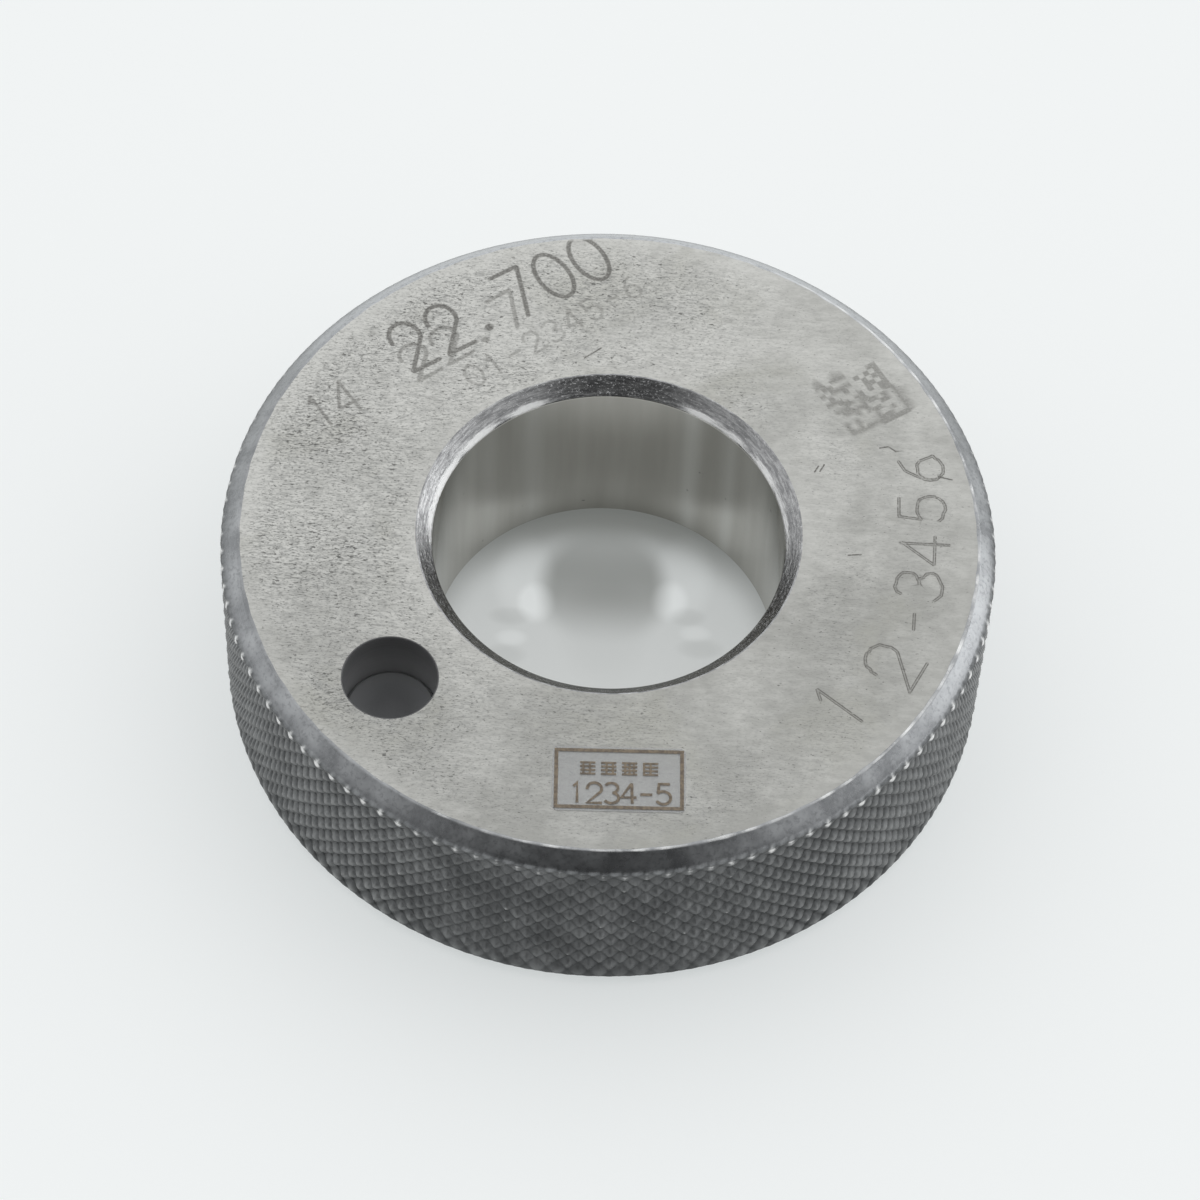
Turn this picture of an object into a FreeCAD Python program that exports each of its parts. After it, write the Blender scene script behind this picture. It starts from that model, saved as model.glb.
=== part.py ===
import FreeCAD, Part
import math
import os

# The ring stands on its lower face: the origin is the centre of that face and +Z runs up the bore.
# All sizes are in millimetres and all angles in degrees.

# Ring
outer_diameter = 50.0
ring_height = 15.0
bore_diameter = 22.711
outer_chamfer = 1.2
bore_chamfer = 1.0

# Diamond knurl on the rim: the pitches run from one diamond to the next, round the rim and along it
knurl_pitch_round = 1.342
knurl_pitch_along = 1.488
knurl_depth = 0.3

# Blind hole in the upper face, a little inside the middle of its width, and the plug on its floor
hole_diameter = 6.0
hole_depth = 6.0
hole_angle = -138.0
hole_inset = 0.2
plug_height = 2.2
plug_side_gap = 0.05
plug_edge_chamfer = 0.2

# Clear label on the upper face, in front of the bore
label_length = 8.3
label_width = 4.65
label_thickness = 0.08
label_corner_radius = 0.4
label_rim_distance = 2.85
label_offset = 1.36
label_turn = 1.7

# What follows from these sizes
outer_radius = outer_diameter / 2
bore_radius = bore_diameter / 2
face_outer_radius = outer_radius - outer_chamfer
face_inner_radius = bore_radius + bore_chamfer
hole_centre_radius = (face_outer_radius + face_inner_radius) / 2 - hole_inset
knurl_count = round(math.pi * outer_diameter / knurl_pitch_round)
knurl_row_height = knurl_pitch_along / 2

AXIS = FreeCAD.Vector(0, 0, 1)
ORIGIN = FreeCAD.Vector(0, 0, 0)


def on_circle(radius, angle, height):
    """The point at a radius and an angle round the bore's axis."""
    turn = math.radians(angle)
    return FreeCAD.Vector(radius * math.cos(turn), radius * math.sin(turn), height)


def many_sided_face(corners):
    return Part.Face(Part.makePolygon(corners + corners[:1]))


def knurled_bar():
    """A bar with crossed V-grooves: a four-sided point in each diamond, valleys between them.

    Places on the rim are counted in half pitches, so a point lies where column + row is even,
    and two valleys cross where it is odd.
    """
    columns = 2 * knurl_count
    rows = 2 * math.ceil(ring_height / knurl_row_height / 2) + 2
    lowest = (ring_height - rows * knurl_row_height) / 2

    def place(column, row):
        radius = outer_radius - knurl_depth * ((column + row) % 2)
        return on_circle(radius, 360 * column / columns, lowest + row * knurl_row_height)

    corners = [place(column, row) for row in range(rows + 1) for column in range(columns)]
    middle_of_end = {row: len(corners) + n for n, row in enumerate((0, rows))}
    corners += [FreeCAD.Vector(0, 0, lowest + row * knurl_row_height) for row in middle_of_end]

    def corner(column, row):
        return row * columns + column % columns

    facets = []
    for row in range(rows + 1):
        for column in range(row % 2, columns, 2):
            tip = corner(column, row)
            left = corner(column - 1, row)
            right = corner(column + 1, row)
            if row < rows:
                above = corner(column, row + 1)
                facets += [(tip, right, above), (tip, above, left)]
            if row > 0:
                below = corner(column, row - 1)
                facets += [(tip, left, below), (tip, below, right)]
    for column in range(columns):
        facets.append((middle_of_end[0], corner(column + 1, 0), corner(column, 0)))
        facets.append((middle_of_end[rows], corner(column, rows), corner(column + 1, rows)))
    skin = Part.Shape()
    skin.makeShapeFromMesh((corners, facets), 0.001, False)
    return Part.makeSolid(Part.Shell(skin.Faces))


def chamfered_bar():
    """The rim's envelope with both end chamfers, one flat of each chamfer to a knurl pitch."""
    reach = outer_chamfer + knurl_depth
    wide = face_outer_radius + reach
    levels = [
        (face_outer_radius, 0),
        (wide, reach),
        (wide, ring_height - reach),
        (face_outer_radius, ring_height),
    ]
    rings = []
    for radius, height in levels:
        rings.append([on_circle(radius, 360 * i / knurl_count, height) for i in range(knurl_count)])
    faces = [many_sided_face(rings[0]), many_sided_face(rings[-1])]
    for lower, upper in zip(rings, rings[1:]):
        for i in range(knurl_count):
            after = (i + 1) % knurl_count
            faces.append(many_sided_face([lower[i], lower[after], upper[after], upper[i]]))
    return Part.makeSolid(Part.Shell(faces))


def bore_space():
    """The bore with a chamfer at each mouth, as one turned cut."""
    profile = [
        ORIGIN,
        FreeCAD.Vector(face_inner_radius, 0, 0),
        FreeCAD.Vector(bore_radius, 0, bore_chamfer),
        FreeCAD.Vector(bore_radius, 0, ring_height - bore_chamfer),
        FreeCAD.Vector(face_inner_radius, 0, ring_height),
        FreeCAD.Vector(0, 0, ring_height),
        ORIGIN,
    ]
    return Part.Face(Part.makePolygon(profile)).revolve(ORIGIN, AXIS, 360)


def hole_floor():
    """The centre of the blind hole's floor, which the plug stands on."""
    return on_circle(hole_centre_radius, hole_angle, ring_height - hole_depth)


def ring_body():
    blind_hole = Part.makeCylinder(hole_diameter / 2, hole_depth, hole_floor())
    turned_blank = chamfered_bar().cut([bore_space(), blind_hole])
    return knurled_bar().common(turned_blank)


def marker_plug():
    plug = Part.makeCylinder(hole_diameter / 2 - plug_side_gap, plug_height, hole_floor())
    top_edge = [edge for edge in plug.Edges if edge.BoundBox.ZMin > hole_floor().z + plug_height / 2]
    return plug.makeChamfer(plug_edge_chamfer, top_edge)


def date_label():
    film = Part.makeBox(
        label_length,
        label_width,
        label_thickness,
        FreeCAD.Vector(-label_length / 2, -label_width / 2, ring_height),
    )
    upright_edges = [edge for edge in film.Edges if edge.BoundBox.ZLength > label_thickness / 2]
    film = film.makeFillet(label_corner_radius, upright_edges)
    film.rotate(ORIGIN, AXIS, label_turn)
    film.translate(FreeCAD.Vector(label_offset, label_rim_distance + label_width / 2 - face_outer_radius, 0))
    return film


os.makedirs("parts", exist_ok=True)
for node, build in (("ring_body", ring_body), ("marker_plug", marker_plug), ("date_label", date_label)):
    shape = build()
    solid = shape if shape.ShapeType == "Solid" else shape.Solids[0]
    solid.exportStep("parts/" + node + ".step")
    print(node, "solids", len(shape.Solids), "faces", len(solid.Faces), "volume", round(solid.Volume, 2))
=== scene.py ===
import math

import bpy
import numpy as np
from mathutils import Matrix, Vector
from mathutils.geometry import delaunay_2d_cdt


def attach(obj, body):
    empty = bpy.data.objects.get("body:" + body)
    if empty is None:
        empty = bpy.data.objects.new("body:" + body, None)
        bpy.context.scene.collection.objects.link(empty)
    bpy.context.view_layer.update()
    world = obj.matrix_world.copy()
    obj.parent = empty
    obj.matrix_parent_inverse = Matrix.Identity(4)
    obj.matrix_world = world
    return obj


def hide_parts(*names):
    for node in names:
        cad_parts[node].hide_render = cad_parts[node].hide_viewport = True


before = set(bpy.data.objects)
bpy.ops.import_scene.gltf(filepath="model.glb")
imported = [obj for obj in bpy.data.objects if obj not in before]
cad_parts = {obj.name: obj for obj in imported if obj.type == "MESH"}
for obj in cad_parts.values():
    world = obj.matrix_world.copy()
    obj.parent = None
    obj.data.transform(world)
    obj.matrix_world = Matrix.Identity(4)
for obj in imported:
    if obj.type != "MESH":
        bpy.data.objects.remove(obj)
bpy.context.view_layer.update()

rng = np.random.default_rng(22700)
MM = 0.001

# Ring, in millimetres, with the sizes of the solids
OUTER_RADIUS = 25.0
HEIGHT = 15.0
BORE_RADIUS = 11.3555
OUTER_CHAMFER = 1.2
BORE_CHAMFER = 1.0
FACE_OUTER = OUTER_RADIUS - OUTER_CHAMFER
FACE_INNER = BORE_RADIUS + BORE_CHAMFER
HOLE_RADIUS = 3.0
HOLE_DEPTH = 6.0
PLUG_HEIGHT = 2.2
HOLE_ANGLE = math.radians(-138.0)
HOLE_FROM_AXIS = 17.878
HOLE_AT = np.array([math.cos(HOLE_ANGLE), math.sin(HOLE_ANGLE)]) * HOLE_FROM_AXIS

# Knurl, with the pitches of the solids but deeper: turns are counted in pitches round the rim
KNURLS = 117
KNURL_PITCH_ALONG = 1.488
KNURL_DEPTH = 0.43
FIRST_TIP_HEIGHT = -1.41
FIRST_TIP_TURN = 0.28
TIP_ROWS = 24
TIP_FLAT = 0.035
VALLEY_SOFTNESS = 0.12
DEPTH_SHARE_AT_END = 0.28
FADE_LENGTH = 1.3

# Worn spots, painted as highlights, where the knurl meets the upper chamfer
SPOT_TURN = 0.25
SPOT_HEIGHT = HEIGHT - OUTER_CHAMFER - 0.14
SPOT_WIDE, SPOT_TALL, SPOT_STRENGTH = 0.25, 0.26, 1.6

# Mesh steps
STEPS = 8
RIM_COLUMNS = KNURLS * STEPS
BORE_COLUMNS = 240
HOLE_COLUMNS = 96

rim_turn = np.arange(RIM_COLUMNS) / STEPS
rim_angle = rim_turn * 2 * math.pi / KNURLS
bore_angle = np.arange(BORE_COLUMNS) * 2 * math.pi / BORE_COLUMNS
hole_angle = np.arange(HOLE_COLUMNS) * 2 * math.pi / HOLE_COLUMNS


def around(angle, waves, size):
    """A smooth random wave round the ring, the same at its two ends."""
    total = np.zeros_like(angle)
    for wave in waves:
        total += np.sin(wave * angle + rng.uniform(0, 6.28)) * rng.uniform(0.5, 1.0)
    return size * total / len(waves) ** 0.5


# Strokes of the marks on the upper face
HAND_WOBBLE = 0.045


def arc(cx, cy, rx, ry, start, end, count=14):
    """Points along part of an oval, with its ends in degrees."""
    turns = np.radians(np.linspace(start, end, count))
    return [(cx + rx * math.cos(t), cy + ry * math.sin(t)) for t in turns]


GLYPHS = {
    "0": [arc(0.5, 0.5, 0.5, 0.5, 90, 450, 28)],
    "1": [[(0.26, 0.8), (0.5, 1.0), (0.5, 0.0)]],
    "2": [arc(0.5, 0.7, 0.48, 0.3, 185, -28, 16) + [(0.02, 0.0), (1.0, 0.0)]],
    "3": [arc(0.48, 0.75, 0.44, 0.25, 150, -80, 12), arc(0.48, 0.26, 0.5, 0.26, 80, -150, 14)],
    "4": [[(0.72, 0.0), (0.68, 1.0)], [(0.66, 0.98), (0.0, 0.3), (1.0, 0.3)]],
    "5": [[(0.92, 1.0), (0.2, 1.0), (0.13, 0.53)], arc(0.48, 0.32, 0.5, 0.32, 140, -150, 16)],
    "6": [[(0.86, 0.98), (0.5, 0.86), (0.2, 0.6)] + arc(0.5, 0.3, 0.46, 0.3, 170, 530, 24)],
    "7": [[(0.0, 1.0), (1.0, 1.0), (0.3, 0.0)]],
    "-": [[(0.1, 0.46), (0.9, 0.46)]],
    ".": [[(0.46, 0.12), (0.54, 0.12)]],
}


def place(lines, origin, angle, width, height, wobble=0.0):
    """Glyph lines from their unit square on to the face."""
    c, s = math.cos(math.radians(angle)), math.sin(math.radians(angle))
    placed = []
    for line in lines:
        xy = np.array(line, float) * (width, height)
        xy = xy + rng.normal(0, 1, xy.shape) * wobble
        placed.append(np.array(origin) + xy @ np.array([[c, s], [-s, c]]))
    return placed


def row_of(text, origin, angle, pitch, width, height, wobble=0.0):
    """The lines of a row of signs, a pitch apart along a turned base line."""
    c, s = math.cos(math.radians(angle)), math.sin(math.radians(angle))
    lines = []
    for i, sign in enumerate(text):
        start = (origin[0] + c * pitch * i, origin[1] + s * pitch * i)
        lines += place(GLYPHS[sign], start, angle, width, height, wobble)
    return lines


def hand_drawn(sign, centre, angle, width, height):
    """One unsteady sign, placed by its middle."""
    c, s = math.cos(math.radians(angle)), math.sin(math.radians(angle))
    start = (centre[0] - c * width / 2 + s * height / 2, centre[1] - s * width / 2 - c * height / 2)
    return place(GLYPHS[sign], start, angle, width, height, HAND_WOBBLE)


# The marks themselves: two strikes of the size, a small row, a pair, a row scribed by hand and scratches
size_lines = row_of("22", (-13.38, 11.78), 34.7, 2.77, 2.1, 3.9)
size_lines += row_of("700", (-6.55, 16.51), 34.7, 2.77, 2.1, 3.9)
size_dots = [np.array([(-8.68, 15.68), (-8.46, 15.83)])]
ghost_lines = row_of("22", (-12.98, 11.04), 37.6, 2.45, 1.9, 2.85)
ghost_lines += row_of("7", (-7.16, 15.52), 37.6, 2.45, 1.9, 2.85)
ghost_dots = [np.array([(-8.80, 14.68), (-8.66, 14.78)])]
small_lines = row_of("01-2345-6", (-9.2, 10.8), 37.9, 1.58, 1.05, 1.75, 0.04)
pair_lines = row_of("14", (-19.0, 6.8), 35.0, 1.9, 1.5, 2.75, 0.02)
scribed_lines = []
for sign, x, y, angle, width, height in (
    ("1", 14.9, -12.4, 52, 2.0, 3.6),
    ("2", 18.3, -9.2, 62, 2.4, 3.6),
    ("-", 19.5, -5.9, 84, 1.5, 2.4),
    ("3", 19.9, -3.1, 84, 2.2, 3.0),
    ("4", 20.3, -0.3, 88, 2.2, 3.1),
    ("5", 20.1, 2.9, 92, 2.1, 3.0),
    ("6", 20.0, 6.0, 98, 2.0, 2.9),
):
    scribed_lines += hand_drawn(sign, (x, y), angle, width, height)
scratch_lines = [
    np.array([(17.30, 7.51), (17.88, 7.65), (18.38, 7.27)]),
    np.array([(21.12, 5.46), (22.03, 5.26)]),
    np.array([(13.10, 5.35), (13.36, 5.85)]),
    np.array([(13.45, 5.42), (13.72, 5.98)]),
    np.array([(15.35, -1.02), (16.2, -0.92)]),
    np.array([(-2.2, 13.6), (-1.1, 14.5)]),
]

# How each kind of mark is cut: line, half width, how far it fades, darkness, depth, dark edges only
KINDS = {
    "size": (size_lines, 0.11, 0.09, 0.80, 0.010, 0.0),
    "dot": (size_dots, 0.23, 0.09, 0.88, 0.010, 0.0),
    "ghost": (ghost_lines, 0.10, 0.09, 0.50, 0.004, 0.0),
    "ghost_dot": (ghost_dots, 0.2, 0.09, 0.6, 0.004, 0.0),
    "small": (small_lines, 0.06, 0.08, 0.38, 0.004, 0.0),
    "pair": (pair_lines, 0.07, 0.09, 0.55, 0.005, 0.0),
    "scribed": (scribed_lines, 0.08, 0.05, 1.0, 0.018, 0.8),
    "scratch": (scratch_lines, 0.035, 0.035, 0.90, 0.015, 0.0),
}
MARK_STEP = 0.18


def sampled(line, step):
    """Points and directions at even steps along a line."""
    points, ways = [], []
    for start, end in zip(line[:-1], line[1:]):
        length = np.linalg.norm(end - start)
        count = max(1, int(round(length / step)))
        for i in range(count + 1):
            points.append(start + (end - start) * i / count)
            ways.append((end - start) / max(length, 1e-6))
    return np.array(points), np.array(ways)


def mark_points():
    """Where the face needs corners, so that the marks have clean edges."""
    points = []
    for lines, half, fade, _, _, edges in KINDS.values():
        offsets = [0.0, half, -half, half + fade, -half - fade]
        if edges:
            offsets += [half * 0.45, -half * 0.45]
        for line in lines:
            at, way = sampled(line, MARK_STEP)
            across = np.stack([-way[:, 1], way[:, 0]], 1)
            for offset in offsets:
                points.append(at + across * offset)
            points.append(at[:1] - way[:1] * (half + fade))
            points.append(at[-1:] + way[-1:] * (half + fade))
    return np.concatenate(points)


def mark_values(xy):
    """Darkness and height of the marks at points on the face."""
    dark = np.zeros(len(xy))
    height = np.zeros(len(xy))
    for lines, half, fade, strength, depth, edges in KINDS.values():
        away = np.full(len(xy), 9.0)
        for line in lines:
            near = np.flatnonzero(
                (xy[:, 0] > line[:, 0].min() - 0.5) & (xy[:, 0] < line[:, 0].max() + 0.5)
                & (xy[:, 1] > line[:, 1].min() - 0.5) & (xy[:, 1] < line[:, 1].max() + 0.5)
            )
            if not len(near):
                continue
            p = xy[near]
            for start, end in zip(line[:-1], line[1:]):
                run = end - start
                part = np.clip(((p - start) @ run) / max(run @ run, 1e-9), 0, 1)
                gap = np.linalg.norm(p - start - part[:, None] * run, axis=1)
                away[near] = np.minimum(away[near], gap)
        inside = np.clip((half + fade - away) / fade, 0, 1)
        middle = np.clip(1 - away / half, 0, 1)
        dark = np.maximum(dark, strength * inside * (1 - edges * middle))
        height -= depth * inside
        if edges:
            burr = np.exp(-((away - half - 0.5 * fade) / (0.5 * fade)) ** 2)
            height += 0.5 * depth * burr
    return dark, height


# A block of square fields, each dark or bare, with no meaning
BLOCK_CORNER = np.array([16.86, 14.50])
BLOCK_RIGHT = np.array([2.54, -3.94]) / 4.69
BLOCK_DOWN = np.array([-3.85, -2.59]) / 4.64
BLOCK_SIDE = 4.65
BLOCK_FIELDS = 12
BLOCK_DARKNESS = 0.52
block_dark = rng.random((BLOCK_FIELDS, BLOCK_FIELDS)) < 0.42
block_dark[:, 0] = rng.random(BLOCK_FIELDS) < 0.7
block_dark[0, :] = True
block_dark[:, -1] = True


def block_points():
    """Four corners inside each field, and a frame of corners round the block."""
    points = []
    field = BLOCK_SIDE / BLOCK_FIELDS
    for row in range(BLOCK_FIELDS):
        for column in range(BLOCK_FIELDS):
            for u in (0.1, 0.9):
                for v in (0.1, 0.9):
                    along = (column + u) * field
                    down = (row + v) * field
                    points.append(BLOCK_CORNER + BLOCK_RIGHT * along + BLOCK_DOWN * down)
    for part in np.linspace(-0.04, BLOCK_SIDE + 0.04, 2 * BLOCK_FIELDS):
        for across in (-0.04, BLOCK_SIDE + 0.04):
            points.append(BLOCK_CORNER + BLOCK_RIGHT * part + BLOCK_DOWN * across)
            points.append(BLOCK_CORNER + BLOCK_RIGHT * across + BLOCK_DOWN * part)
    return np.array(points)


# The ring's skin, as one closed mesh

class Skin:
    def __init__(self):
        self.points, self.faces, self.finish = [], [], []
        self.count = 0
        self.marks = {"etch": {}, "worn": {}, "deep": {}}

    def loop(self, radius, height, angle, centre=(0.0, 0.0), **marks):
        radius = np.broadcast_to(radius, angle.shape)
        height = np.broadcast_to(height, angle.shape)
        x = centre[0] + radius * np.cos(angle)
        y = centre[1] + radius * np.sin(angle)
        return self.add(np.stack([x, y, height], 1), **marks)

    def add(self, points, **marks):
        index = np.arange(self.count, self.count + len(points))
        self.points.append(points)
        self.count += len(points)
        for name, values in marks.items():
            self.marks[name][int(index[0])] = np.broadcast_to(values, len(points))
        return index

    def band(self, lower, upper, finish, falling=None):
        """Faces between two loops, the outside being on the right of lower-to-upper as the angle grows."""
        a, b = lower, np.roll(lower, -1)
        d, c = upper, np.roll(upper, -1)
        if falling is None:
            self.faces += np.stack([a, b, c, d], 1).tolist()
            self.finish += [finish] * len(a)
            return
        one = np.where(falling[:, None], np.stack([a, b, d], 1), np.stack([a, b, c], 1))
        two = np.where(falling[:, None], np.stack([b, c, d], 1), np.stack([a, c, d], 1))
        self.faces += one.tolist() + two.tolist()
        self.finish += [finish] * (2 * len(a))

    def built(self, name, materials):
        mesh = bpy.data.meshes.new(name)
        points = np.concatenate(self.points) * MM
        mesh.from_pydata(points.tolist(), [], self.faces)
        for material in materials:
            mesh.materials.append(material)
        mesh.polygons.foreach_set("material_index", self.finish)
        mesh.polygons.foreach_set("use_smooth", [True] * len(self.faces))
        for mark, parts in self.marks.items():
            values = np.zeros(self.count, np.float32)
            for first, part in parts.items():
                values[first:first + len(part)] = part
            mesh.attributes.new(mark, "FLOAT", "POINT").data.foreach_set("value", values)
        mesh.validate()
        mesh.update()
        piece = bpy.data.objects.new(name, mesh)
        bpy.context.scene.collection.objects.link(piece)
        return piece


def rounded(corner, before, after, size):
    """Radius and height pairs that take a corner in a small curve, with one more pair at each end."""
    corner, before, after = (np.array(v, float) for v in (corner, before, after))
    size = np.atleast_1d(np.asarray(size, float))[:, None]
    start = corner - before / np.linalg.norm(before) * size
    end = corner + after / np.linalg.norm(after) * size
    pairs = [start - before / np.linalg.norm(before) * 0.03]
    for t in (0.0, 0.33, 0.67, 1.0):
        pairs.append(start * (1 - t) ** 2 + 2 * corner * t * (1 - t) + end * t ** 2)
    pairs.append(end + after / np.linalg.norm(after) * 0.03)
    return [(pair[:, 0], pair[:, 1]) for pair in pairs]


tip_wear = rng.random((2 * KNURLS, TIP_ROWS)) ** 5
tip_flat = rng.random((2 * KNURLS, TIP_ROWS)) * TIP_FLAT


def knurl_at(turn, height):
    """Depth below the tips, how far down the valley a place is (0 to 1) and its tip's wear."""
    along = (height - FIRST_TIP_HEIGHT) / KNURL_PITCH_ALONG
    a, b = turn - FIRST_TIP_TURN + along, turn - FIRST_TIP_TURN - along
    near_a, near_b = np.round(a), np.round(b)
    out_a, out_b = 2 * np.abs(a - near_a), 2 * np.abs(b - near_b)
    out = np.clip((out_a ** 7 + out_b ** 7) ** (1 / 7), 0, 1)
    column = (near_a + near_b).astype(int) % (2 * KNURLS)
    row = np.clip((near_a - near_b).astype(int), 0, TIP_ROWS - 1)
    soft = VALLEY_SOFTNESS
    curve = (np.sqrt(out ** 2 + soft ** 2) - soft) / (math.sqrt(1 + soft ** 2) - soft)
    from_end = np.minimum(height, HEIGHT - height) - OUTER_CHAMFER
    full = DEPTH_SHARE_AT_END + (1 - DEPTH_SHARE_AT_END) * np.clip(from_end / FADE_LENGTH, 0, 1)
    depth = np.maximum(KNURL_DEPTH * full * curve, tip_flat[column, row])
    pit = np.clip((out_a + out_b - 1.1) / 0.7, 0, 1)
    return depth, np.maximum(0.7 * out, pit), tip_wear[column, row]


def rim_border(side):
    """Where the knurl meets a chamfer: side 1 is the upper one and -1 the lower one."""
    edge = HEIGHT / 2 + side * (HEIGHT / 2 - OUTER_CHAMFER)
    height = np.full(RIM_COLUMNS, edge)
    for _ in range(30):
        height = edge + side * knurl_at(rim_turn, height)[0]
    return height


def border_spot(height):
    """The spot of wear, painted as a highlight, where a cut diamond meets the upper chamfer, one to each
    pitch, stronger at the ring's sides.
    """
    strength = np.repeat(0.5 + 0.5 * rng.random(KNURLS), STEPS) * (0.3 + 0.8 * np.abs(np.cos(rim_angle)))
    aside = ((rim_turn - SPOT_TURN + 0.5) % 1.0 - 0.5) * 2 * math.pi * OUTER_RADIUS / KNURLS
    above = height - SPOT_HEIGHT
    return SPOT_STRENGTH * strength * np.exp(-(aside / SPOT_WIDE) ** 2 - (above / SPOT_TALL) ** 2)


FACE, CHAMFER, KNURL, MOUTH, BORE, HOLE = range(6)
skin = Skin()

# Knurled rim, from the lower border to the upper one
low_border, high_border = rim_border(-1), rim_border(1)
step = KNURL_PITCH_ALONG / STEPS
fixed = np.arange(FIRST_TIP_HEIGHT, HEIGHT, step)
fixed = fixed[(fixed > OUTER_CHAMFER + 0.1) & (fixed < HEIGHT - OUTER_CHAMFER - 0.1)]
levels = [low_border + (fixed[0] - low_border) * share for share in (0.0, 0.33, 0.67)]
levels += [np.full(RIM_COLUMNS, z) for z in fixed]
levels += [fixed[-1] + (high_border - fixed[-1]) * share for share in (0.33, 0.67, 1.0)]
# Knurl tips are lighter where wear falls at random; at the ring's sides, more on the right, they also get
# a painted highlight
rim_side = np.clip((np.abs(np.cos(rim_angle)) - 0.65) / 0.35, 0, 1) * (1.0 + 0.3 * np.cos(rim_angle))
rim_loops = []
for z in levels:
    depth, out, wear = knurl_at(rim_turn, z)
    tip = np.clip(1 - out / 0.3, 0, 1) * np.maximum(0.65 * wear, 0.5 * rim_side)
    worn = np.maximum(tip, border_spot(z))
    rim_loops.append(skin.loop(OUTER_RADIUS - depth, z, rim_angle, worn=worn, deep=out))
for lower, upper, z0, z1 in zip(rim_loops, rim_loops[1:], levels, levels[1:]):
    middle_turn = rim_turn + 0.5 / STEPS - FIRST_TIP_TURN
    middle = ((z0 + z1) / 2 - FIRST_TIP_HEIGHT) / KNURL_PITCH_ALONG
    off_a = np.abs(middle_turn + middle - np.round(middle_turn + middle))
    off_b = np.abs(middle_turn - middle - np.round(middle_turn - middle))
    skin.band(lower, upper, KNURL, off_a > off_b)

# Outer chamfers, each ending in a small edge, which is uneven on the upper one
EDGE_ROOM = 0.2
LOW_EDGE_SIZE = 0.06
# The chamfer is darker in its two loops next to the upper knurl border
BORDER_DARKENING = (0.35, 0.1)
WEAR_AND_GLINT_LOOPS = range(5, 8)
edge_size = 0.12 + np.clip(around(rim_angle, [7, 13, 29, 43, 61, 89], 0.03), -0.05, 0.06)
top_edge = []
for share in (0.3, 0.65, 1.0):
    height = high_border + (HEIGHT - EDGE_ROOM - high_border) * share
    top_edge.append((FACE_OUTER + HEIGHT - height, height))
top_edge += rounded((FACE_OUTER, HEIGHT), (-1, 1), (-1, 0), edge_size)
low_edge = [(FACE_OUTER + EDGE_ROOM, EDGE_ROOM)]
low_edge += rounded((FACE_OUTER, 0), (-1, -1), (-1, 0), LOW_EDGE_SIZE)
previous = rim_loops[-1]
# The upper edge has uneven wear, painted lighter as a dotted glint, more towards the right front
edge_wear_and_glint = np.clip(0.4 + around(rim_angle, [3, 5, 23, 41, 61, 83, 107], 0.3), 0.05, 0.8)
edge_wear_and_glint *= 0.35 + 0.65 * np.clip(0.5 + 0.7 * np.cos(rim_angle + 0.35), 0, 1)
for n, (radius, height) in enumerate(top_edge):
    worn = np.maximum(border_spot(height), edge_wear_and_glint if n in WEAR_AND_GLINT_LOOPS else 0.0)
    border_darkening = BORDER_DARKENING[n] if n < len(BORDER_DARKENING) else 0.0
    loop = skin.loop(radius, height, rim_angle, worn=worn, deep=border_darkening)
    skin.band(previous, loop, CHAMFER)
    previous = loop
top_outer = previous
previous = rim_loops[0]
for radius, height in low_edge:
    loop = skin.loop(radius, height, rim_angle)
    skin.band(loop, previous, CHAMFER)
    previous = loop
low_outer = previous


def bands(angle, *parts):
    """A sum of soft bands round the bore, each from its place and width in degrees and its strength."""
    turn = np.degrees(angle)
    return sum(strength * np.exp(-((turn - at) / width) ** 2) for at, width, strength in parts)


# Bore with its two mouths, from the upper face down
section = rounded((FACE_INNER, HEIGHT), (-1, 0), (-1, -1), 0.05)
mouth_end = len(section)
section += [(BORE_RADIUS + rise, HEIGHT - BORE_CHAMFER + rise) for rise in (0.4, 0.2)]
section += rounded((BORE_RADIUS, HEIGHT - BORE_CHAMFER), (-1, -1), (0, -1), 0.1)
lip_end = len(section)
section += rounded((BORE_RADIUS, BORE_CHAMFER), (0, -1), (1, -1), 0.04)
section += rounded((FACE_INNER, 0), (1, -1), (1, 0), 0.05)

# The lapped wall's finish starts inside the lip's curve and stops inside the lower one's
wall_start, wall_stop = mouth_end + 5, lip_end + 2
# Painted highlights at fixed angles round the bore: light streaks on the lapped wall and bright patches on
# the lip
wall_light = bands(bore_angle, (118, 4.0, 0.5), (136, 3.0, 0.25), (63, 3.5, 0.7), (47, 3.0, 0.5))
lip_light = np.clip(0.2 + bands(bore_angle, (120, 5, 0.9), (140, 6, 0.85), (160, 8, 0.9), (178, 8, 0.35),
                                (61, 5, 0.7), (48, 5, 0.4), (29, 8, 0.55), (10, 9, 0.3)), 0, 1)
bore_loops = []
for n, (radius, height) in enumerate(section):
    if n < lip_end - 1:
        worn = lip_light if n > mouth_end else 0.0
    else:
        worn = wall_light * (1.0 if n <= lip_end else 0.25)
    bore_loops.append(skin.loop(radius, height, bore_angle, worn=worn))
for i, (upper, lower) in enumerate(zip(bore_loops, bore_loops[1:])):
    skin.band(upper, lower, BORE if wall_start <= i < wall_stop else MOUTH)
top_inner, low_inner = bore_loops[0], bore_loops[-1]

# Blind hole
hole_section = rounded((HOLE_RADIUS, HEIGHT), (-1, 0), (0, -1), 0.05)
hole_section += [(HOLE_RADIUS, z) for z in (13.0, 11.0, HEIGHT - HOLE_DEPTH)]
hole_loops = [skin.loop(radius, height, hole_angle, HOLE_AT) for radius, height in hole_section]
for upper, lower in zip(hole_loops, hole_loops[1:]):
    skin.band(upper, lower, HOLE)
skin.faces.append(hole_loops[-1].tolist())
skin.finish.append(HOLE)


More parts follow.
